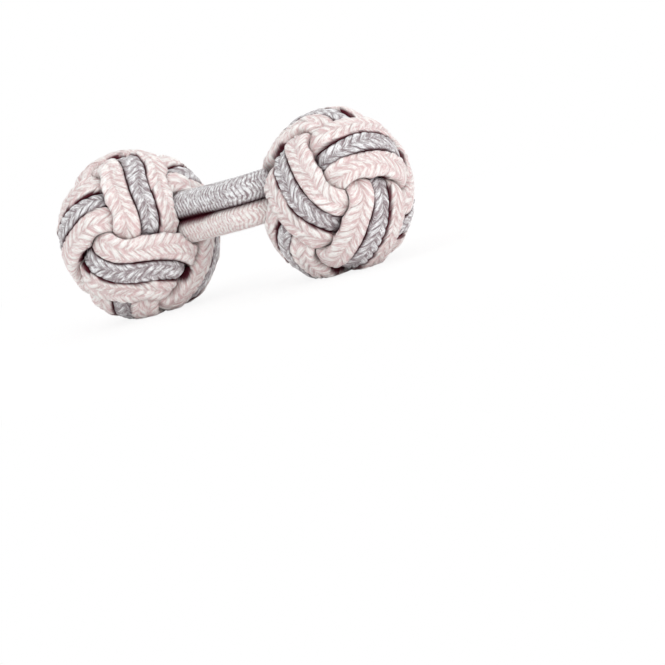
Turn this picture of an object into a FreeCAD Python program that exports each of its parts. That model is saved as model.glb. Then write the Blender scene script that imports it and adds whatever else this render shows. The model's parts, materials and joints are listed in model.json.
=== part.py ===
import FreeCAD, Part
import math
import os
from FreeCAD import Vector

# A silk-knot cufflink: two balls, each tied from three cords side by side, on a pair of elastic cords.
# Millimetres and degrees. It lies on its two balls: +Z is up, the floor is Z = 0, and the balls' centres
# stand over the X axis at equal distances from the origin, and the link runs from the left ball to the right.

# one ball: a button knot of 4 leads and 3 bights, tied with three strands side by side
leads, bights, lanes = 4, 3, 3
strand_dia = 1.05          # a cord of the knot, pulled tight
lane_gap = 0.15            # between strands side by side, where the band dives and goes under
lane_gap_over = 0.45       # and where it lies on top, spread out
cross_gap = 0.64           # between a strand that goes over and the one that it crosses
ball_course = 4.71         # the over course's distance from the centre, in lanes: as tight as the knot draws
bight_lat = 55.5           # how far a strand climbs towards the poles
bight_lift = 6.2           # how much further each bight is drawn up
sway = 0.28                # radians that a strand runs ahead of an even course, twice a round,
sway_fine = 0.07           # and four times a round
cross_flat = 0.88          # how flat a strand runs, over or under, before it changes
cross_lag = 0.04           # radians that the crossings lag behind
throat_flat = 0.92         # the ball is drawn this much flatter along its throat,
waist_full = 1.05          # and fuller round it
tail_gap = 1.6             # between a strand's two tucked ends, below the crossing beside the throat
core_gap = 0.12            # from the deepest strand to the wadding core
foot_depth = 0.5           # how deep the lowest strand is pressed flat

# the link: a silver cord above a white one, each a braided sleeve over a rubber core
silver_dia = 2.1
white_dia = 1.9
cord_gap = 0.05            # between the two cords
elastic_dia = 0.8          # a rubber core
elastic_gap = 0.05         # between a rubber core and its sleeve
throat_share = 0.34        # half the throat's width between strand centres, in the over course's distance
throat_gap = 0.2           # from the pinched cords to the strands round the throat
neck_gap = 0.12            # between the two pinched cords
neck_wall = 0.3            # a sleeve's wall where it is pinched
sleeve_depth = 1.3         # below the ball's outside: how deep a sleeve goes,
elastic_depth = 1.6        # how deep its rubber core goes,
pinch_depth = 0.65         # and how far out the pinched part comes
pivot_out = 1.15           # outside the ball: where the cords bend
link_length = 4.0          # between the two bends
bend_radius = 2.2

# how the cufflink lies
link_bend = 46.0           # the right ball is turned this much on the link
left_tilt = 5.9            # each ball's throat looks up by this much, and the link runs from throat to throat
right_tilt = 12.0
left_spin = 27.0           # each ball's turn about its own throat
right_spin = -85.0

arcs_per_round = 40        # a strand is drawn in arcs, two between each pair of points
probes_per_round = 240     # points of a strand at which gaps are measured

# worked out from the above
lane_under = strand_dia + lane_gap
lane_over = strand_dia + lane_gap_over
over_radius = ball_course * lane_under
under_radius = over_radius - strand_dia - cross_gap
crest = math.sqrt((1 + cross_flat) / (3 * cross_flat))
crest_rise = crest * (1 + cross_flat * (1 - crest * crest))
deepest = (over_radius + under_radius) / 2 - (over_radius - under_radius) / 2 * crest_rise
ball_radius = over_radius + (over_radius - under_radius) / 2 * (crest_rise - 1) + strand_dia / 2
core_radius = throat_flat * deepest - strand_dia / 2 - core_gap
throat_radius = waist_full * throat_share * over_radius - strand_dia / 2
throat_face = throat_flat * ball_radius
neck_dia = throat_radius - throat_gap - neck_gap / 2
neck_elastic_dia = neck_dia - 2 * neck_wall - 2 * elastic_gap
pivot_reach = throat_face + pivot_out
bend_reach = bend_radius * math.tan(math.radians(link_bend) / 2)
shoulder_reach = pivot_reach - bend_reach
left_run = link_length / 2 + pivot_out
right_run = link_length / 2 + pivot_out * math.cos(math.radians(link_bend))


def on_sphere(u):
    # the band's middle line: u goes once round for each bight, and the longitude leads / bights times as fast
    lat = math.radians(bight_lat) * math.cos(u) + math.radians(bight_lift) * math.cos(3 * u)
    lon = u * leads / bights - math.pi / bights + sway * math.sin(2 * u) + sway_fine * math.sin(4 * u)
    return Vector(math.cos(lat) * math.cos(lon), math.cos(lat) * math.sin(lon), math.sin(lat))


def strand_point(u, lane):
    # over and under three times a round, along a flattened sine; a lane is offset square to the band
    s = -math.sin(3 * u - cross_lag * math.sin(2 * u))
    rise = s * (1 + cross_flat * (1 - s * s))
    r = (over_radius + under_radius) / 2 + (over_radius - under_radius) / 2 * rise
    pitch = lane_under + (lane_over - lane_under) * max(s, 0) ** 2
    middle = on_sphere(u)
    side = (on_sphere(u + 0.004) - on_sphere(u - 0.004)).cross(middle)
    side.normalize()
    a = lane * pitch / r
    point = (middle * math.cos(a) + side * math.sin(a)) * r
    return Vector(point.x * throat_flat, point.y * waist_full, point.z * waist_full)


def strand_tangent(u, lane):
    t = strand_point(u + 0.003, lane) - strand_point(u - 0.003, lane)
    t.normalize()
    return t


def strand_span(lane):
    # the closed course is opened where it runs under the band beside the throat
    u = 1.5 * math.pi
    speed = (strand_point(u + 0.01, lane) - strand_point(u - 0.01, lane)).Length / 0.02
    half = tail_gap / 2 / speed
    return u + half, u + 2 * math.pi * bights - half


def spread(first, last, count):
    return [first + (last - first) * k / count for k in range(count + 1)]


def arc_to(start, corner, end):
    # the arc from start to end whose tangents meet at corner
    chord = (start + end) * 0.5
    rise = corner - chord
    half = (end - start).Length / 2
    if rise.Length < half / 10000:
        return Part.LineSegment(start, end).toShape()
    turn = math.atan(rise.Length / half)
    return Part.Arc(start, chord + rise * (math.tan(turn / 2) / math.tan(turn)), end).toShape()


def biarc(p0, t0, p1, t1):
    # two arcs that meet smoothly, with equal tangents at both ends
    v = p1 - p0
    along = v.dot(t0 + t1)
    a = 2 * (1 - t0.dot(t1))
    d = v.dot(v) / (4 * v.dot(t1)) if a < 1e-9 else (math.sqrt(along * along + a * v.dot(v)) - along) / a
    q0 = p0 + t0 * d
    q1 = p1 - t1 * d
    meet = (q0 + q1) * 0.5
    return [arc_to(p0, q0, meet), arc_to(meet, q1, p1)]


def strand(lane):
    us = spread(*strand_span(lane), arcs_per_round * bights // 2)
    ends = [(strand_point(u, lane), strand_tangent(u, lane)) for u in us]
    edges = [arc for a, b in zip(ends, ends[1:]) for arc in biarc(*a, *b)]
    shell = Part.BRepOffsetAPI.MakePipeShell(Part.Wire(edges))
    shell.add(Part.Wire(Part.Circle(*ends[0], strand_dia / 2).toShape()))
    shell.build()
    shell.makeSolid()
    return shell.shape()


def least_gaps():
    # from points on the strands' middle lines: each strand to itself, strand to strand, strand to throat axis
    rows = []
    for lane in range(-(lanes // 2), lanes // 2 + 1):
        rows.append([strand_point(u, lane) for u in spread(*strand_span(lane), probes_per_round * bights)])
    length = sum((b - a).Length for a, b in zip(rows[1], rows[1][1:]))
    along = 4 * strand_dia * probes_per_round * bights / length
    to_self = min((p - q).Length for row in rows for i, p in enumerate(row) for q in row[i + round(along):])
    pairs = [(row, other) for i, row in enumerate(rows) for other in rows[i + 1:]]
    between = min((p - q).Length for row, other in pairs for p in row for q in other)
    inside = throat_face - elastic_depth
    throat = min((math.hypot(p.y, p.z) for row in rows for p in row if p.x > inside), default=ball_radius)
    tip = neck_dia / 2 + neck_gap / 2 + neck_elastic_dia / 2
    print("least gap of a strand to itself", round(to_self - strand_dia, 3))
    print("least gap between strands", round(between - strand_dia, 3))
    print("least gap from strands to the rubber cores", round(throat - strand_dia / 2 - tip, 3))


def disc(point, direction, dia):
    return Part.Wire(Part.Circle(point, direction, dia / 2).toShape())


def cord(height, neck_height, dia, neck, depth):
    # along the link's own X axis: pinched in the left throat, straight, bent, and pinched in the right throat
    turn = math.radians(link_bend)
    left_way = Vector(1, 0, 0)
    right_way = Vector(math.cos(turn), math.sin(turn), 0)
    left_ball = left_way * -pivot_reach
    right_ball = Vector(link_length, 0, 0) + right_way * pivot_reach

    def left(reach, z):
        return left_ball + left_way * reach + Vector(0, 0, z)

    def right(reach, z):
        return right_ball - right_way * reach + Vector(0, 0, z)

    pieces = []
    for at, way in ((left, left_way), (right, right_way * -1)):
        tip = at(throat_face - depth, neck_height)
        pinch = at(throat_face - pinch_depth, neck_height)
        full = at(shoulder_reach, height)
        pieces.append(Part.makeCylinder(neck / 2, (pinch - tip).Length, tip, way))
        pieces.append(Part.makeLoft([disc(pinch, way, neck), disc(full, way, dia)], True, True))
    start = left(shoulder_reach, height)
    stop = Vector(link_length - bend_reach, 0, height)
    pieces.append(Part.makeCylinder(dia / 2, (stop - start).Length, start, left_way))
    centre = stop + Vector(0, bend_radius, 0)
    face = Part.Face(disc(stop, left_way, dia))
    pieces.append(face.revolve(centre, Vector(0, 0, 1), link_bend))
    return pieces[0].multiFuse(pieces[1:]).removeSplitter()


def link():
    # the silver cord lies above the white one, so that the two bend easily to the left and right
    pitch = (silver_dia + white_dia) / 2 + cord_gap
    neck_pitch = neck_dia + neck_gap
    shapes = {}
    for name, dia, way in (("silver", silver_dia, 1), ("white", white_dia, -1)):
        place = (way * pitch / 2, way * neck_pitch / 2)
        bore = cord(*place, elastic_dia + 2 * elastic_gap, neck_elastic_dia + 2 * elastic_gap, elastic_depth)
        shapes[name + "_link_sleeve"] = cord(*place, dia, neck_dia, sleeve_depth).cut(bore)
        shapes[name + "_link_elastic"] = cord(*place, elastic_dia, neck_elastic_dia, elastic_depth)
    return shapes


def knot():
    # tied about the origin, with its throat on +X
    return {
        "white_strand_a": strand(-1),
        "silver_strand": strand(0),
        "white_strand_b": strand(1),
        "core": Part.makeSphere(core_radius),
    }


def turned(shape, axis, degrees):
    copy = shape.copy()
    copy.rotate(Vector(0, 0, 0), axis, degrees)
    return copy


def assemble():
    # each ball lies on its own lowest strand, pressed flat; the link climbs from the left throat to the right
    turn = math.radians(link_bend)
    reach = Vector(pivot_reach + link_length + pivot_reach * math.cos(turn), pivot_reach * math.sin(turn), 0)
    lean = math.degrees(math.atan2(reach.y, reach.x))
    half = reach.Length / 2
    along, across, up = Vector(1, 0, 0), Vector(0, 1, 0), Vector(0, 0, 1)
    balls = (
        ("left", -half, left_spin, left_tilt, -lean),
        ("right", half, right_spin, right_tilt, 180 + link_bend - lean),
    )
    room = Part.makeBox(4 * half, 4 * half, 4 * half, Vector(-2 * half, -2 * half, 0))
    tied = knot()
    shapes = {}
    throats = {}
    for side, x, spin, tilt, heading in balls:
        placed = {}
        for name, shape in tied.items():
            placed[name] = turned(turned(turned(shape, along, spin), across, -tilt), up, heading)
        height = -min(shape.optimalBoundingBox().ZMin for shape in placed.values()) - foot_depth
        for name, shape in placed.items():
            shape.translate(Vector(x, 0, height))
            pressed = shape.optimalBoundingBox().ZMin < 0
            shapes[side + "_knot_" + name] = shape.common(room) if pressed else shape
        throats[side] = height + throat_face * math.sin(math.radians(tilt))
        print(side, "ball centre", round(x, 4), round(height, 4))
    climb = math.asin((throats["right"] - throats["left"]) / (left_run + right_run))
    level = FreeCAD.Rotation(up, -lean).multVec(along)
    middle = level * (pivot_reach + link_length / 2) - along * half
    middle.z = throats["left"] + left_run * math.sin(climb)
    for name, shape in link().items():
        placed = shape.copy()
        placed.translate(along * (-link_length / 2))
        placed = turned(turned(placed, across, -math.degrees(climb)), up, -lean)
        placed.translate(middle)
        shapes[name] = placed
    way = level * math.cos(climb) + up * math.sin(climb)
    for label, share in (("left pivot", -0.5), ("middle", 0), ("right pivot", 0.5)):
        print(label, [round(v, 4) for v in middle + way * (share * link_length)])
    print("link direction", [round(v, 5) for v in way])
    print("ball", round(2 * throat_face, 3), round(2 * waist_full * ball_radius, 3))
    print("core", round(2 * core_radius, 3), "neck", round(neck_dia, 3))
    return shapes


def main():
    least_gaps()
    os.makedirs("parts", exist_ok=True)
    for name, shape in assemble().items():
        solids = shape.Solids
        feet = [f for f in shape.Faces if f.BoundBox.ZMax < 1e-6]
        note = ["%.2f mm2 at %.3f %.3f" % (f.Area, f.CenterOfMass.x, f.CenterOfMass.y) for f in feet]
        print(name, len(solids), "solid", round(shape.Volume, 2), "mm3", shape.isValid(), *note)
        solids[0].exportStep("parts/" + name + ".step")


main()
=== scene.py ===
import bpy
import json
import math
import numpy as np
from mathutils import Matrix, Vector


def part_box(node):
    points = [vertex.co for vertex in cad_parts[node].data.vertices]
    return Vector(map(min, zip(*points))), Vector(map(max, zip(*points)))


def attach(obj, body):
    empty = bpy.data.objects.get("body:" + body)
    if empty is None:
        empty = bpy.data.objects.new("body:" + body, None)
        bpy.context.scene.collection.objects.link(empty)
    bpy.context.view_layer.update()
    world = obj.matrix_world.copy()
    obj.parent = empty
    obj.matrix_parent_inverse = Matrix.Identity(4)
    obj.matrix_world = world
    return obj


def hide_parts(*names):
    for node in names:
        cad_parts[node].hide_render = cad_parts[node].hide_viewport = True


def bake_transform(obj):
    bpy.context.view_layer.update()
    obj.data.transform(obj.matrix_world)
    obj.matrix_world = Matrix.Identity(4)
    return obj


# A silk-knot cufflink: two balls tied from braided cord, on a pair of elastic cords.
# Shapes are worked out in millimetres in the solids' frame, and scaled to metres as they become meshes.

mm = 0.001
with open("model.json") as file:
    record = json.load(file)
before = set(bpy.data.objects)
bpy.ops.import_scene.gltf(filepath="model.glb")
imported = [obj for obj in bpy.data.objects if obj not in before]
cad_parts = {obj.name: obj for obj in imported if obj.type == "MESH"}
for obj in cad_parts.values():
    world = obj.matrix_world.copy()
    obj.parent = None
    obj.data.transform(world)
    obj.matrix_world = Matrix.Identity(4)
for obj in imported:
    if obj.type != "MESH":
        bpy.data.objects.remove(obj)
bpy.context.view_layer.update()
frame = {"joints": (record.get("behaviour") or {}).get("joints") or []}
joints = {joint["name"]: joint for joint in frame["joints"]}
scene = bpy.context.scene
skyward = np.array([0, 0, 1.0])


def middleOf(node):  # the middle of a node's box
    low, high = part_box(node)
    return (np.array(low) + np.array(high)) / 2 / mm


def unit(v):  # vectors along the last axis, made one long
    return v / np.linalg.norm(v, axis=-1, keepdims=True)


def ramp(x, low, high):  # 0 below low, 1 above high, and an even S between them
    t = np.clip((x - low) / (high - low), 0, 1)
    return t * t * (3 - 2 * t)


leftBall = middleOf("left_knot_core")
rightBall = middleOf("right_knot_core")
leftPivot = np.array(joints["left_swing"]["pos_m"]) / mm
rightPivot = np.array(joints["right_swing"]["pos_m"]) / mm
linkWay = unit(np.array(joints["link_stretch"]["axis"]))

# Stage: camera, light and floor

shot = {
    "side": 665,                       # pixels of the square frame
    "scale": 13.38,                    # pixels a millimetre at the cufflink
    "middle": (237.2, 214.5),          # pixel of the point midway between the balls
    "swing": 23.6,                     # degrees: the camera stands this far to the right of the front,
    "rise": 5.2,                       # this far above level,
    "roll": 15.2,                      # and is turned this much, so that the link climbs to the right
    "away": 420.0,
    "sensor": 36.0,
    "clip": (0.01, 20),                # metres
}


def camera():
    # the camera's back points from the cufflink to the lens, then its axes turn by the roll, and it aims
    # at the point that the frame's middle shows
    swing, rise, roll = (math.radians(shot[key]) for key in ("swing", "rise", "roll"))
    back = np.array([math.sin(swing) * math.cos(rise), -math.cos(swing) * math.cos(rise), math.sin(rise)])
    level = unit(np.cross(skyward, back))
    steep = np.cross(back, level)
    right = math.cos(roll) * level - math.sin(roll) * steep
    up = math.sin(roll) * level + math.cos(roll) * steep
    middle = (leftBall + rightBall) / 2
    place = middle + back * shot["away"]
    offset = (shot["side"] / 2 - np.array(shot["middle"])) / shot["scale"]
    aim = middle + right * offset[0] - up * offset[1]
    back = unit(place - aim)
    right = unit(right - back * (right @ back))
    up = np.cross(back, right)
    data = bpy.data.cameras.new("camera")
    data.sensor_width = shot["sensor"]
    data.lens = shot["scale"] * shot["away"] * shot["sensor"] / shot["side"]
    data.clip_start, data.clip_end = shot["clip"]
    view = bpy.data.objects.new("camera", data)
    turn = Matrix([right, up, back]).transposed()
    view.matrix_world = Matrix.Translation(place * mm) @ turn.to_4x4()
    scene.collection.objects.link(view)
    scene.camera = view
    return right, up, unit(place - middle)


lampSet = {       # the way to each lamp, in the camera's own right, up and back; watts; size; colour
    "key": ((-0.62, 0.74, 0.5), 0.07, 0.08, (1, 1, 1)),
    "fill": ((0.62, 0.22, 0.75), 0.44, 0.30, (1, 0.93, 0.93)),
    "rim": ((0.25, 0.8, -0.6), 0.05, 0.20, (1, 1, 1)),
}
lampsAway = 0.3   # metres


def lamps(axes):
    for name, (way, watts, size, colour) in lampSet.items():
        data = bpy.data.lights.new(name, "AREA")
        data.energy = watts
        data.size = size
        data.color = colour
        lamp = bpy.data.objects.new(name, data)
        lamp.location = unit(np.array(way)) @ np.array(axes) * lampsAway
        lamp.rotation_mode = "QUATERNION"
        lamp.rotation_quaternion = lamp.location.to_track_quat("Z", "Y")
        scene.collection.objects.link(lamp)


def nodeTree(name):
    material = bpy.data.materials.new(name)
    material.use_nodes = True
    tree = material.node_tree
    tree.nodes.clear()
    return material, tree


def addNode(tree, kind, values=(), **settings):
    # a node with its settings, and its inputs by name: a socket is linked, and anything else is a value
    node = tree.nodes.new(kind)
    for key, value in settings.items():
        setattr(node, key, value)
    for key, value in dict(values).items():
        if isinstance(value, bpy.types.NodeSocket):
            tree.links.new(value, node.inputs[key])
        else:
            node.inputs[key].default_value = value
    return node


def mapped(tree, value, before, after):  # one range to another, held at its ends
    values = {0: value, 1: before[0], 2: before[1], 3: after[0], 4: after[1]}
    return addNode(tree, "ShaderNodeMapRange", values).outputs[0]


def mixed(tree, factor, first, second):
    values = {"Factor": factor, "A": first, "B": second}
    return addNode(tree, "ShaderNodeMix", values, data_type="RGBA").outputs["Result"]


def worked(tree, operation, first, second):
    return addNode(tree, "ShaderNodeMath", {0: first, 1: second}, operation=operation).outputs[0]


paper = {
    "colour": (0.96, 0.95, 0.95, 1),
    "white": 0.86,                     # share of white that the camera sees by the cufflink, over its shadow,
    "fade": (0.014, 0.045),            # and metres from the middle over which it goes on to white alone
    "reach": 6.0,
}


def stage():
    # a white floor that keeps the shadow near the cufflink, and a plain white sky
    material, tree = nodeTree("paper")
    lit = addNode(tree, "ShaderNodeBsdfDiffuse", {"Color": paper["colour"]})
    white = addNode(tree, "ShaderNodeEmission", {"Color": (1, 1, 1, 1), "Strength": 1.0})
    path = addNode(tree, "ShaderNodeLightPath")
    place = addNode(tree, "ShaderNodeTexCoord")
    far = addNode(tree, "ShaderNodeVectorMath", {0: place.outputs["Object"]}, operation="LENGTH")
    fade = mapped(tree, far.outputs["Value"], paper["fade"], (paper["white"], 1))
    seen = worked(tree, "MULTIPLY", path.outputs["Is Camera Ray"], fade)
    mix = addNode(tree, "ShaderNodeMixShader", {0: seen, 1: lit.outputs[0], 2: white.outputs[0]})
    addNode(tree, "ShaderNodeOutputMaterial", {"Surface": mix.outputs[0]})
    mesh = bpy.data.meshes.new("floor")
    reach = paper["reach"]
    corners = [(-reach, -reach, 0), (reach, -reach, 0), (reach, reach, 0), (-reach, reach, 0)]
    mesh.from_pydata(corners, [], [(0, 1, 2, 3)])
    mesh.materials.append(material)
    floor = bpy.data.objects.new("floor", mesh)
    scene.collection.objects.link(floor)
    world = bpy.data.worlds.new("sky")
    world.use_nodes = True
    tree = world.node_tree
    tree.nodes.clear()
    sky = addNode(tree, "ShaderNodeBackground", {"Color": (1, 1, 1, 1), "Strength": 1.0})
    addNode(tree, "ShaderNodeOutputWorld", {"Surface": sky.outputs[0]})
    scene.world = world
    scene.view_settings.view_transform = "Standard"


lamps(camera())
stage()
print("stage: camera, lamps and floor")

# Finishes

braidLooks = {    # colours of a stitch's groove (painted shade) and crown, of threads that catch the light (painted glint), and of painted shade deep down and in cracks
    "white_braid": {
        "paintedGrooveShade": (0.70, 0.51, 0.507), "crown": (0.885, 0.835, 0.81), "paintedGlint": (0.96, 0.95, 0.925),
        "deep": (0.09, 0.015, 0.024), "rough": (0.46, 0.30), "specular": 0.55,
    },
    "silver_braid": {
        "paintedGrooveShade": (0.25, 0.185, 0.20), "crown": (0.68, 0.67, 0.685), "paintedGlint": (0.93, 0.945, 0.96),
        "deep": (0.06, 0.010, 0.016), "rough": (0.32, 0.18), "specular": 1.0,
    },
}
filaments = {
    "scale": (2.2, 3.6, 1.0), "detail": 5.0, "roughness": 0.75,  # of the noise that streaks a stitch
    "range": (0.38, 0.62), "shift": (-0.7, 1.05),      # how far it moves the colour from the groove's painted shade to the crown,
    "tone": (-0.28, 0.12),                             # and how far a whole stitch does
    "lit": (0.95, 1.4),                                # above the crown: a painted glint where threads catch the light
    "bump": 0.00015,                                   # metres
    "glossRange": (0.3, 0.7),
    "fuzz": 0.2, "fuzzRough": 0.4,
}
mottling = {"scale": 2500.0, "detail": 4.0, "bump": 0.00004, "strength": 0.4, "rough": 0.8}


def braidMaterial(name):
    # colour runs from painted shade in the groove to the crown of each stitch, uneven from stitch to stitch
    # and streaked by the fine filaments that run along it, brightens to a painted glint above the crown, and
    # sinks to painted shade, with no gloss or sheen, where a cord meets another and deep in a knot
    look = braidLooks[name]
    f = filaments
    material, tree = nodeTree(name)
    crown = addNode(tree, "ShaderNodeAttribute", attribute_name="crown").outputs["Fac"]
    tone = addNode(tree, "ShaderNodeAttribute", attribute_name="tone").outputs["Fac"]
    clear = addNode(tree, "ShaderNodeAttribute", attribute_name="open").outputs["Fac"]
    uv = addNode(tree, "ShaderNodeUVMap", uv_map="stitches")
    spun = addNode(tree, "ShaderNodeMapping", {"Vector": uv.outputs[0], "Scale": f["scale"]})
    noise = addNode(tree, "ShaderNodeTexNoise", {
        "Vector": spun.outputs[0], "Scale": 1.0, "Detail": f["detail"], "Roughness": f["roughness"]})
    streak = noise.outputs["Fac"]
    shift = mapped(tree, streak, f["range"], f["shift"])
    uneven = worked(tree, "ADD", shift, mapped(tree, tone, (0, 1), f["tone"]))
    level = worked(tree, "ADD", crown, uneven)
    # painted shade: the groove of each stitch is darker and pinker than its crown
    stitch = mixed(tree, level, (*look["paintedGrooveShade"], 1), (*look["crown"], 1))
    # painted highlight: above the crown the colour goes on to the glint
    flecksAndPaintedGlints = mixed(tree, mapped(tree, level, f["lit"], (0, 1)), stitch, (*look["paintedGlint"], 1))
    bump = addNode(tree, "ShaderNodeBump", {"Height": streak, "Strength": 1.0, "Distance": f["bump"]})
    # painted shade: where 'open' is low the colour sinks to the deep colour, and the gloss and sheen go
    shader = addNode(tree, "ShaderNodeBsdfPrincipled", {
        "Base Color": mixed(tree, clear, (*look["deep"], 1), flecksAndPaintedGlints),
        "Roughness": mapped(tree, streak, f["glossRange"], look["rough"]),
        "Normal": bump.outputs[0],
        "Specular IOR Level": mapped(tree, clear, (0, 1), (0, look["specular"])),
        "Sheen Weight": mapped(tree, clear, (0, 1), (0, f["fuzz"])),
        "Sheen Roughness": f["fuzzRough"]})
    addNode(tree, "ShaderNodeOutputMaterial", {"Surface": shader.outputs[0]})
    return material


def threadMaterial(name, light, dark):
    # packed or moulded stuff: two tones mottled finely, and matt
    m = mottling
    material, tree = nodeTree(name)
    place = addNode(tree, "ShaderNodeTexCoord")
    noise = addNode(tree, "ShaderNodeTexNoise", {
        "Vector": place.outputs["Object"], "Scale": m["scale"], "Detail": m["detail"]})
    mottle = noise.outputs["Fac"]
    bump = addNode(tree, "ShaderNodeBump", {
        "Height": mottle, "Strength": m["strength"], "Distance": m["bump"]})
    shader = addNode(tree, "ShaderNodeBsdfPrincipled", {
        "Base Color": mixed(tree, mottle, (*dark, 1), (*light, 1)),
        "Roughness": m["rough"],
        "Normal": bump.outputs[0]})
    addNode(tree, "ShaderNodeOutputMaterial", {"Surface": shader.outputs[0]})
    return material


finishes = {
    "white_braid": braidMaterial("white_braid"),
    "silver_braid": braidMaterial("silver_braid"),
    # the wadding is a real core, and its dark red-brown is painted shade for the gaps between strands where
    # it shows
    "wadding": threadMaterial("wadding", (0.20, 0.10, 0.10), (0.08, 0.035, 0.038)),
    "rubber_core": threadMaterial("rubber_core", (0.74, 0.66, 0.52), (0.60, 0.52, 0.40)),
}
print("finishes:", ", ".join(finishes))

# Mesh from a grid


def gridPiece(name, points, uv, marks, slot, nodes):
    # points are rows along a piece by columns round it; the columns close on themselves, and a fan closes
    # each end
    rows, columns = points.shape[:2]
    count = rows * columns
    index = np.arange(count).reshape(rows, columns)
    beside = np.roll(index, -1, axis=1)
    quads = np.stack([index[:-1], beside[:-1], beside[1:], index[1:]], axis=-1).reshape(-1, 4)
    first = np.stack([beside[0], index[0], np.full(columns, count)], axis=-1)
    last = np.stack([index[-1], beside[-1], np.full(columns, count + 1)], axis=-1)
    tips = np.array([points[0].mean(0), points[-1].mean(0)])
    mesh = bpy.data.meshes.new(name)
    places = np.concatenate([points.reshape(-1, 3), tips]) * mm
    mesh.from_pydata(places.tolist(), [], quads.tolist() + first.tolist() + last.tolist())
    mesh.polygons.foreach_set("use_smooth", np.ones(len(mesh.polygons), bool))
    across = np.concatenate([uv[..., 0], uv[:, :1, 0] + uv[0, -1, 0] + uv[0, 1, 0]], axis=1)
    along = np.concatenate([uv[..., 1], uv[:, :1, 1]], axis=1)
    flat = np.stack([across, along], axis=-1)
    corners = np.stack([flat[:-1, :-1], flat[:-1, 1:], flat[1:, 1:], flat[1:, :-1]], axis=2).reshape(-1, 2)
    ends = np.zeros((6 * columns, 2))
    layer = mesh.uv_layers.new(name="stitches")
    layer.data.foreach_set("uv", np.concatenate([corners, ends]).astype(np.float32).ravel())
    for key, values in marks.items():
        attribute = mesh.attributes.new(key, "FLOAT", "POINT")
        full = np.concatenate([values.ravel(), [0, 0]])
        attribute.data.foreach_set("value", full.astype(np.float32))
    mesh.materials.append(finishes[slot])
    mesh.update()
    piece = bpy.data.objects.new(name, mesh)
    scene.collection.objects.link(piece)
    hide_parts(*nodes)
    return piece


# The course of the link, which the knots leave room for

link = {
    "bend": 46.0, "bendRadius": 2.2,           # degrees that the right ball is turned on the link
    "samples": 4000,
    "neckAt": 4.2, "shoulderAt": 5.0,          # from a ball's centre: where a cord is pinched, where full,
    "tipAt": 4.2,                              # where its tip is,
    "deepAt": (4.4, 5.2),                      # and where painted shade darkens it, and where it is clear of it
    "leftBend": (-1.15, 0.45),                 # along the link from each pivot: where it bends
    "rightBend": (-0.45, 1.0),
    "spare": 0.02,                             # between a bend and the stitches of the next length
    "core": 0.38,                              # the rubber's share of a cord's radius
    "turn": 0.3,                               # radians that the columns of stitches are turned
    "press": 0.04,                             # how softly the cords are pressed flat against each other
    "paintedFacingShade": (-1.05, -0.55),                  # painted shade where they face each other,
    "part": 0.25, "paintedWedgeRun": 2.2,              # and further round by the left knot, as a painted shadow wedge that fades out over this run
}
linkCords = {                                  # diameter and height of a cord, pinched diameter and height
    "silver": {"dia": 2.14, "height": 1.0, "neckDia": 1.3, "neckHeight": 0.7, "slot": "silver_braid"},
    "white": {"dia": 1.94, "height": -0.92, "neckDia": 1.3, "neckHeight": -0.7, "slot": "white_braid"},
}
leftReach = np.linalg.norm((leftPivot - leftBall)[:2]) - link["tipAt"]   # from each pivot to the cords' tips
rightReach = np.linalg.norm((rightPivot - rightBall)[:2]) - link["tipAt"]
linkSpan = np.linalg.norm(rightPivot - leftPivot)


def linkCourse():
    # straight out of the left ball, an arc about the right pivot, and straight into the right ball; the slope
    # is the link's own, less as it turns away
    turn = math.radians(link["bend"])
    cut = link["bendRadius"] * math.tan(turn / 2)
    arc = link["bendRadius"] * turn
    straight = leftReach + linkSpan - cut
    run = np.linspace(0, straight + arc + rightReach - cut, link["samples"])
    turned = turn * np.clip((run - straight) / arc, 0, 1)
    heading = math.atan2(linkWay[1], linkWay[0]) + turned
    step = unit(np.stack([np.cos(heading), np.sin(heading), linkWay[2] * np.cos(turned)], axis=-1))
    move = np.cumsum((step[1:] + step[:-1]) / 2, axis=0) * (run[1] - run[0])
    line = leftPivot - linkWay * leftReach + np.concatenate([[[0, 0, 0]], move])
    return run, line, step


linkRun, linkLine, linkStep = linkCourse()


def cordSize(cord, middle):
    # a cord's height over the course, its radius, and how far it is from the nearer ball
    inside = np.minimum(*(np.linalg.norm(middle - ball, axis=-1) for ball in (leftBall, rightBall)))
    full = ramp(inside, link["neckAt"], link["shoulderAt"])
    height = cord["neckHeight"] + (cord["height"] - cord["neckHeight"]) * full
    radius = (cord["neckDia"] + (cord["dia"] - cord["neckDia"]) * full) / 2
    return height, radius, inside


# Braid

braids = {
    "knot": {
        "columns": 6,                          # herringbone columns round a cord, two to each V
        "pitch": 0.62,                         # a stitch along the cord
        "slant": 1.25,                         # how far a stitch climbs across its column, in stitches
        "across": (0, 0.1, 0.25, 0.42, 0.58, 0.75, 0.9),  # places across a column,
        "along": (0, 0.12, 0.32, 0.5, 0.68, 0.88),  # and along a stitch
        "ridge": 2.6, "column": 2.6,           # how flat a stitch is on top, along and across it
        "seam": 0.3,                           # its height between columns
        "depth": 0.13,                         # from the crown of a stitch to its groove,
        "bulge": (0.45, 1.0), "sunk": 0.6,     # which its luck changes, and how much of it is inward
        "fleck": (1.0, 1.0),                   # size of a stitch for its flecks, across and along
    },
    "link": {
        "columns": 8,
        "pitch": 0.28,
        "slant": 0.95,
        "across": (0, 0.13, 0.37, 0.63, 0.87),
        "along": (0, 0.16, 0.38, 0.62, 0.84),
        "ridge": 3.2, "column": 3.6,
        "seam": 0.55,
        "depth": 0.075,
        "bulge": (0.8, 0.25), "sunk": 0.6,
        "fleck": (1.0, 0.45),
    },
}


def chance(*counts):  # an even spread from 0 to 1 that is always the same for the same counts
    mixture = sum(np.asarray(count) * weight for count, weight in zip(counts, (12.9898, 78.233, 37.719)))
    return np.sin(mixture) * 43758.5453 % 1


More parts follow.
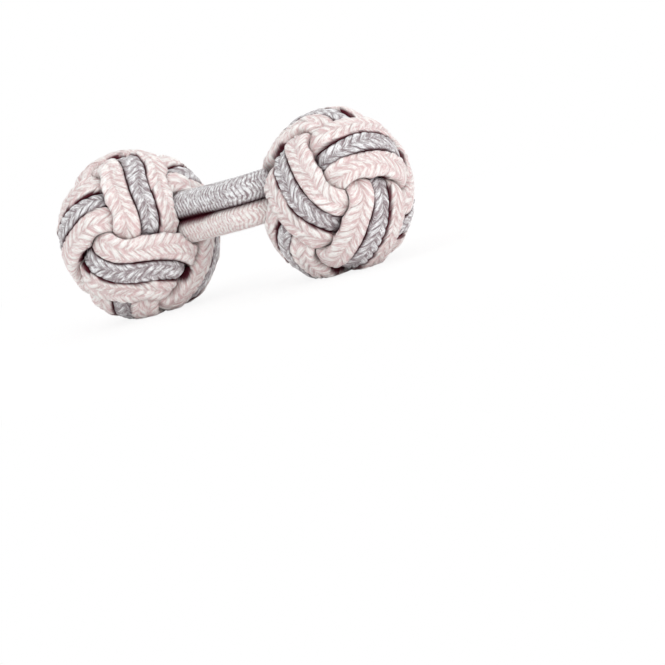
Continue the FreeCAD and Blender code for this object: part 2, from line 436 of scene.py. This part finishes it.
def stitchPattern(b, phase, key):
    # rows are phases along a cord and columns are places round it: the angle round the cord, how far the V
    # climbs, a stitch's rounded ridge along and across, its crown, luck and relief, and the places for flecks
    across = (np.arange(b["columns"])[:, None] + np.array(b["across"])[None, :]).ravel()[None, :]
    phase = phase[:, None]
    vee = np.abs((across / 2) % 1 * 2 - 1)
    ridge = 1 - np.abs(2 * (phase % 1) - 1) ** b["ridge"]
    column = 1 - np.abs(2 * (across % 1) - 1) ** b["column"]
    crown = ridge * (b["seam"] + (1 - b["seam"]) * column)
    luck = chance(np.floor(phase), np.floor(across), key)
    relief = b["depth"] * (crown * (b["bulge"][0] + b["bulge"][1] * luck) - b["sunk"])
    return {
        "angle": 2 * math.pi * across / b["columns"], "vee": vee, "ridge": ridge * column, "crown": crown,
        "luck": luck, "relief": relief,
        "uv": np.array(b["fleck"]) * np.stack(np.broadcast_arrays(across, phase), axis=-1),
    }


# The knots

knotCourse = {
    "leads": 4, "bights": 3,
    "bightLat": 55.5, "bightLift": 6.2,        # degrees: how far a strand climbs, and its bights are drawn up
    "sway": 0.28, "swayFine": 0.07,            # radians ahead of an even course
    "crossFlat": 0.88, "crossLag": 0.04,       # how flat it runs over and under, and how late
    "overRadius": 5.52, "underRadius": 4.1,    # of the strands' middles
    "lanes": (-1, 0, 1), "lanePitch": 1.42,
    "points": 168,                             # a strand's points while it settles
    "probe": 0.004,                            # radians either way, for the band's heading
}
settling = {
    "rounds": 320, "startDia": 1.1, "dia": 1.52,    # strands swell as the knot is drawn up,
    "swollen": 0.6,                                 # until this share of the rounds
    "outside": 6.2, "core": 3.05,                   # the room between the ball's outside and the wadding
    "throat": 0.8, "throatStack": 0.9,              # the cords in the throat: half a cord, half their step,
    "throatFrom": 3.5,                              # and how far from the ball's centre it starts
    "slack": 0.05, "stiff": 0.2, "hold": 0.01,      # pulls: to be short, straight and on the tied course
    "skip": 1.25,                                   # half turns of a strand that don't push each other
    "push": 0.5,                                    # share of an overlap that a round undoes
    "floor": 0.36,                                  # how high a strand's middle stays, in diameters
}
knots = {                                      # each throat is tilted up, and the ball is spun about it
    "left": {"ball": leftBall, "pivot": leftPivot, "tilt": 5.9, "spin": 27.0},
    "right": {"ball": rightBall, "pivot": rightPivot, "tilt": 15.5, "spin": -84.0},
}
knotShape = {"flat": 0.92, "full": 1.05}       # a knot is drawn flat along its throat and full round it
strandNames = ("white_strand_a", "silver_strand", "white_strand_b")
silverLane = 1


def bandMiddle(u):
    # u goes once round for each bight, the latitude swings with it and the longitude runs 4/3 as fast
    c = knotCourse
    lat = math.radians(c["bightLat"]) * np.cos(u) + math.radians(c["bightLift"]) * np.cos(3 * u)
    lon = u * c["leads"] / c["bights"] - math.pi / c["bights"] + c["sway"] * np.sin(2 * u)
    lon = lon + c["swayFine"] * np.sin(4 * u)
    return np.stack([np.cos(lat) * np.cos(lon), np.cos(lat) * np.sin(lon), np.sin(lat)], axis=-1)


def tiedStrands():
    # over and under three times a round along a flattened sine, each lane offset square to the band; each
    # strand starts where it is tucked under the crossing beside the throat
    c = knotCourse
    u = 1.5 * math.pi + np.linspace(0, 2 * math.pi * c["bights"], c["points"], endpoint=False)
    s = -np.sin(3 * u - c["crossLag"] * np.sin(2 * u))
    rise = s * (1 + c["crossFlat"] * (1 - s * s))
    r = (c["overRadius"] + c["underRadius"]) / 2 + (c["overRadius"] - c["underRadius"]) / 2 * rise
    middle = bandMiddle(u)
    side = unit(np.cross(bandMiddle(u + c["probe"]) - bandMiddle(u - c["probe"]), middle))
    lanes = [lane * c["lanePitch"] / r for lane in c["lanes"]]
    return np.stack([(np.cos(a)[:, None] * middle + np.sin(a)[:, None] * side) * r[:, None] for a in lanes])


def drawnUp(strands, throat, way, shape, floor):
    # the strands swell a little each round and push each other apart, are smoothed along their length, and
    # are kept out of the throat, off the wadding, inside the flattened ball and above the floor
    k = settling
    rounder = np.linalg.inv(shape)
    home = strands.copy()
    lanes, count, _ = strands.shape
    lane = np.repeat(np.arange(lanes), count)
    order = np.tile(np.arange(count), lanes)
    apart = np.abs(order[:, None] - order[None, :])
    apart = np.minimum(apart, count - apart)
    same = lane[:, None] == lane[None, :]
    beside = unit(np.cross(skyward, way))
    for turn in range(k["rounds"]):
        dia = k["startDia"] + (k["dia"] - k["startDia"]) * min(1, turn / (k["swollen"] * k["rounds"]))
        lap = (np.roll(strands, 1, 1) + np.roll(strands, -1, 1)) / 2 - strands
        lap2 = (np.roll(lap, 1, 1) + np.roll(lap, -1, 1)) / 2 - lap
        strands = strands + k["slack"] * lap - k["stiff"] * lap2 + k["hold"] * (home - strands)
        step = np.linalg.norm(np.roll(strands, -1, 1) - strands, axis=2).mean()
        skip = math.ceil(math.pi / 2 * dia * k["skip"] / step)
        p = strands.reshape(-1, 3)
        square = (p * p).sum(1)
        far = np.sqrt(np.maximum(square[:, None] + square[None, :] - 2 * p @ p.T, 1e-9))
        near = (far < dia) & ~(same & (apart <= skip))
        push = np.where(near, (dia - far) / far, 0)
        move = p * push.sum(1)[:, None] - push @ p
        p = p + k["push"] * move / np.sqrt(np.maximum(near.sum(1), 1))[:, None]
        r = np.linalg.norm(p @ rounder, axis=1)
        p = p * (np.clip(r, k["core"] + dia / 2, k["outside"] - dia / 2) / r)[:, None]
        past = p - throat
        past = past - (past @ way)[:, None] * way
        y, z = past @ beside, past @ skyward
        z = z - np.clip(z, -k["throatStack"], k["throatStack"])
        out = np.hypot(y, z) + 1e-9
        lack = np.where(p @ way > k["throatFrom"], np.maximum(k["throat"] + dia / 2 - out, 0), 0)
        p = p + (lack * y / out)[:, None] * beside + (lack * z / out)[:, None] * skyward
        p[:, 2] = np.maximum(p[:, 2], floor + k["floor"] * dia)
        strands = p.reshape(lanes, count, 3)
    return strands


def alongLoop(points, t):
    # a smooth closed curve through the points, at the places t counted in points
    i = np.floor(t).astype(int)
    f = (t - i)[..., None]
    n = len(points)
    a, b, c, d = (points[(i + k) % n] for k in (-1, 0, 1, 2))
    return b + 0.5 * f * (c - a + f * (2 * a - 5 * b + 4 * c - d + f * (3 * (b - c) + d - a)))


strandShape = {
    "samples": 6000, "probe": 0.25,            # along its loop, and points either way for its heading
    "tailGap": 1.6,                            # between its two tucked ends,
    "tip": 0.35, "tipRun": 0.9,                # which are this thin, and how far they thicken
    "uneven": 0.5,                             # how far a stitch bulges along the cord, in stitches
    "wide": 1.3, "high": 0.76,                 # half a cord's width and height where it has room,
    "square": 3.3,                             # and how square its section is, from 2 for an ellipse
    "turns": ((0.35, 5.1, 2.1), (0.2, 2.3, 1.3), (0.1, 0.83, 0.7), (0.07, 0.47, 1.9)),  # waves in its turn,
    "laneTurn": 0.2,                           # a turn from lane to lane,
    "swells": ((0.03, 3.7, 1.0), (0.02, 1.31, 2.0)),  # and waves in its thickness
    "edge": 10.0,                              # how sharply a cord turns where it meets another
    "paintedCrackShade": (0.054, 0.432),                   # how close to another cord the colour sinks to painted shade, and by luck
    "deepAt": (3.2, 4.4),                      # painted shade below the one, clear above the other
}
swelling = {
    "step": 0.35,                              # points between the places that neighbours are told by
    "block": 4000,                             # places worked out at a time
    "ahead": 0.04,                             # a neighbour less far ahead than this isn't in the way
    "open": 9,                                 # room where nothing is in the way
    "own": 5.5,                                # points along the cord itself that don't count
    "gap": 0.015, "least": 0.2,                # kept free, and a cord's least radius
}


def waves(table, s, lane):  # size and run of each wave along a cord, and how far each lane is ahead
    return sum(size * np.sin(s / run + ahead * lane) for size, run, ahead in table)


def roomRound(centres, ways, places, others, spread, own, ownPlaces, loop):
    # how far a cord can swell from each centre along each way: to the plane between it and the nearest other
    # cord, (square of the distance + spread) / (2 x the distance along the way). Points close by on the cord
    # itself, told by their places along its loop, don't count
    k = swelling
    centres, ways, others = (rows.reshape(-1, 3).astype(np.float32) for rows in (centres, ways, others))
    spread = (spread + (others ** 2).sum(1)).astype(np.float32)
    room = np.empty(len(centres), np.float32)
    which = np.empty(len(centres), int)
    for start in range(0, len(centres), k["block"]):
        block = slice(start, start + k["block"])
        c, w = centres[block], ways[block]
        ahead = w @ others.T - (w * c).sum(1)[:, None]
        reach = (c ** 2).sum(1)[:, None] + spread[None, :] - 2 * c @ others.T
        reach = np.where(ahead > k["ahead"], reach / (2 * np.maximum(ahead, k["ahead"])), k["open"])
        apart = np.abs(places[block, None] - ownPlaces[None, :])
        reach[:, own][np.minimum(apart, loop - apart) < k["own"]] = k["open"]
        which[block] = reach.argmin(1)
        room[block] = reach.min(1)
    return room, which


def knotStrand(strands, lane, rounder, cords):
    # rings follow the V of the stitches round a flattened cord that turns slowly as it runs, and the cord
    # swells until it meets its neighbours
    b = braids["knot"]
    k = strandShape
    points = strands[lane]
    count = len(points)
    t = np.linspace(0, count, k["samples"])
    line = alongLoop(points, t)
    run = np.concatenate([[0], np.cumsum(np.linalg.norm(np.diff(line, axis=0), axis=1))])
    length = run[-1] - k["tailGap"]
    stitches = int(length / b["pitch"])
    pitch = length / (stitches + b["slant"])
    phase = (np.arange(stitches)[:, None] + np.array(b["along"])[None, :]).ravel()
    stitch = stitchPattern(b, phase, lane)
    luck = stitch["luck"]
    uneven = k["uneven"] * (luck - 0.5) * stitch["ridge"]
    s = k["tailGap"] / 2 + pitch * (phase[:, None] + b["slant"] * stitch["vee"] + uneven)
    place = np.interp(s, run, t)
    middle = alongLoop(points, place)
    ahead = unit(alongLoop(points, place + k["probe"]) - alongLoop(points, place - k["probe"]))
    out = unit(middle @ rounder @ rounder)
    out = unit(out - ahead * (out * ahead).sum(-1, keepdims=True))
    side = np.cross(ahead, out)
    angle = stitch["angle"] - waves(k["turns"], s, lane) - k["laneTurn"] * (lane - 1)
    way = out * np.cos(angle)[..., None] + side * np.sin(angle)[..., None]

    end = np.minimum(s - s.min(), s.max() - s)
    taper = k["tip"] + (1 - k["tip"]) * ramp(end, 0, k["tipRun"])
    tall = np.abs(np.cos(angle) / k["high"]) ** k["square"]
    broad = np.abs(np.sin(angle) / k["wide"]) ** k["square"]
    free = (1 + waves(k["swells"], s, lane)) * (tall + broad) ** (-1 / k["square"])
    free = (free + stitch["relief"]) * taper

    steps = np.arange(0, count, swelling["step"])
    rows = [alongLoop(row, steps) for row in strands] + [row for row, thick in cords]
    spread = [np.zeros(len(steps))] * len(strands) + [k["high"] ** 2 - thick ** 2 for row, thick in cords]
    own = slice(lane * len(steps), (lane + 1) * len(steps))
    room, which = roomRound(middle, way, place.ravel(), np.concatenate(rows), np.concatenate(spread), own,
                            steps, count)
    room = np.maximum(room.reshape(place.shape) - swelling["gap"], swelling["least"])
    radius = (free ** -k["edge"] + room ** -k["edge"]) ** (-1 / k["edge"])
    points = middle + way * radius[..., None]

    # painted shade in the cracks beside the silver, none where white meets white, and painted shade deep in
    # the knot
    neighbour = (which // len(steps)).reshape(place.shape)
    pale = (lane != silverLane) & (neighbour != silverLane)
    paintedCrackShade = np.where(pale, 1, ramp(room - radius, 0, k["paintedCrackShade"][0] + k["paintedCrackShade"][1] * luck))
    # painted shade deep in the knot, towards its middle
    deep = ramp(np.linalg.norm(points @ rounder, axis=-1), *k["deepAt"])
    return points, stitch["uv"], {"crown": stitch["crown"], "tone": luck, "open": paintedCrackShade * deep}


def flattened(points):  # what would go through the floor is pressed out flat on it
    thin = 0.06
    z = points[..., 2]
    points[..., 2] = np.where(z < thin, thin * np.exp(z / thin - 1), z)
    return points


def tieKnots():
    thinned = slice(None, None, 16)   # points of the link's course that the strands leave room for
    for side, knot in knots.items():
        heading = math.atan2(*(knot["pivot"] - knot["ball"])[1::-1])
        turn = Matrix.Rotation(heading, 3, "Z") @ Matrix.Rotation(math.radians(-knot["tilt"]), 3, "Y")
        turn = np.array(turn @ Matrix.Rotation(math.radians(knot["spin"]), 3, "X"))
        way = turn[:, 0]
        shape = knotShape["full"] * np.eye(3) + (knotShape["flat"] - knotShape["full"]) * np.outer(way, way)
        leave = linkStep[0] if side == "left" else -linkStep[-1]
        tip = (linkLine[0] if side == "left" else linkLine[-1]) - knot["ball"]
        strands = drawnUp(tiedStrands() @ turn.T @ shape, tip, leave, shape, -knot["ball"][2])
        cords = []
        for cord in linkCords.values():
            height, radius, _ = cordSize(cord, linkLine[thinned])
            cords.append((linkLine[thinned] - knot["ball"] + height[:, None] * skyward, radius))
        for lane, name in enumerate(strandNames):
            points, uv, marks = knotStrand(strands, lane, np.linalg.inv(shape), cords)
            node = side + "_knot_" + name
            slot = "silver_braid" if lane == silverLane else "white_braid"
            piece = gridPiece(node + "_cord", flattened(points + knot["ball"]), uv, marks, slot, [node])
            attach(piece, side + "_knot")
        print(side, "knot tied")


tieKnots()

# Wadding inside the knots

wadding = {
    "radius": 2.94, "depth": 0.07,
    "turns": 34, "axis": (0.5, 0.3, 0.8),      # its thread winds round this axis
    "rows": 70, "columns": 96, "pole": 0.03,   # the grid, and radians from its ends to the poles
}


def waddingBalls():
    # a ball of thread: latitude by longitude, with ridges that wind round a tilted axis
    w = wadding
    end = math.pi / 2 - w["pole"]
    lat = np.linspace(-end, end, w["rows"])[:, None]
    lon = np.linspace(0, 2 * math.pi, w["columns"], endpoint=False)[None, :]
    way = np.broadcast_arrays(np.cos(lat) * np.cos(lon), np.cos(lat) * np.sin(lon), np.sin(lat))
    way = np.stack(way, axis=-1)
    wind = np.cos(w["turns"] * np.arccos(way @ unit(np.array(w["axis"]))))
    r = w["radius"] + w["depth"] * (wind - 1)
    uv = np.stack(np.broadcast_arrays(lon, lat), axis=-1)
    for side, knot in knots.items():
        points = knot["ball"] + way * r[..., None]
        piece = gridPiece(side + "_knot_wadding", points, uv, {}, "wadding", [side + "_knot_core"])
        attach(piece, side + "_knot")
    print("wadding packed")


waddingBalls()

# The link


def linkCord(cord, first, last, core):
    # rings follow the V of close-set stitches round a round cord that is pinched where it goes into a knot; a
    # core is the smooth rubber inside
    b = braids["link"]
    phase = np.append((np.arange(first, last)[:, None] + np.array(b["along"])[None, :]).ravel(), last)
    stitch = stitchPattern(b, phase, cord["dia"])
    at = np.clip(b["pitch"] * (phase[:, None] + b["slant"] * (stitch["vee"] - 0.5)), 0, linkRun[-1])
    middle = np.stack([np.interp(at, linkRun, linkLine[:, k]) for k in range(3)], axis=-1)
    ahead = unit(np.stack([np.interp(at, linkRun, linkStep[:, k]) for k in range(3)], axis=-1))
    height, radius, inside = cordSize(cord, middle)
    radius = link["core"] * radius if core else radius + stitch["relief"]
    angle = stitch["angle"] + link["turn"]
    above = height + radius * np.cos(angle)
    way = np.sign(cord["height"])
    if not core:  # pressed flat where it meets the other
        above = way * link["press"] * (np.logaddexp(0, above * way / link["press"]) - 0.5)
    beside = radius * np.sin(angle)
    points = middle + skyward * above[..., None] + np.cross(ahead, skyward) * beside[..., None]
    # painted shade where the cords face each other, wider by the left knot, and where they go into a knot
    part = link["part"] * (1 - ramp(at, leftReach, leftReach + link["paintedWedgeRun"]))
    paintedFacingShade = ramp(np.cos(angle) * way - part, *link["paintedFacingShade"])
    clear = ramp(inside, *link["deepAt"]) * paintedFacingShade
    return points, stitch["uv"], {"crown": stitch["crown"], "tone": stitch["luck"], "open": clear}


def makeLink():
    # each cord is in three lengths that meet in a groove: one by the left knot, one in the middle, and one by
    # the right knot
    pitch = braids["link"]["pitch"]
    stitches = math.floor(linkRun[-1] / pitch)
    spare = 0.5 * braids["link"]["slant"] * pitch + link["spare"]
    leftCut = math.ceil((leftReach + link["leftBend"][1] + spare) / pitch)
    rightCut = math.floor((leftReach + linkSpan + link["rightBend"][0] - spare) / pitch)
    stretch = (leftCut * pitch - leftReach + spare, rightCut * pitch - leftReach - spare)
    lengths = {    # stitches, bodies, and where along the link from a pivot it bends or stretches
        "left": (0, leftCut, "left_knot", "link_elastics", leftPivot, link["leftBend"]),
        "middle": (leftCut, rightCut, "link_elastics", "link_sleeves", leftPivot, stretch),
        "right": (rightCut, stitches, "link_sleeves", "right_knot", rightPivot, link["rightBend"]),
    }
    for name, cord in linkCords.items():
        for part, (first, last, bodyA, bodyB, pivot, reaches) in lengths.items():
            for kind in ("sleeve", "elastic"):
                points, uv, marks = linkCord(cord, first, last, kind == "elastic")
                slot = cord["slot"] if kind == "sleeve" else "rubber_core"
                node = name + "_link_" + kind
                piece = gridPiece(node + "_" + part, points, uv, marks, slot, [node])
                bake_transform(piece)
    print("link made:", stitches, "stitches, cut at", leftCut, rightCut)


makeLink()
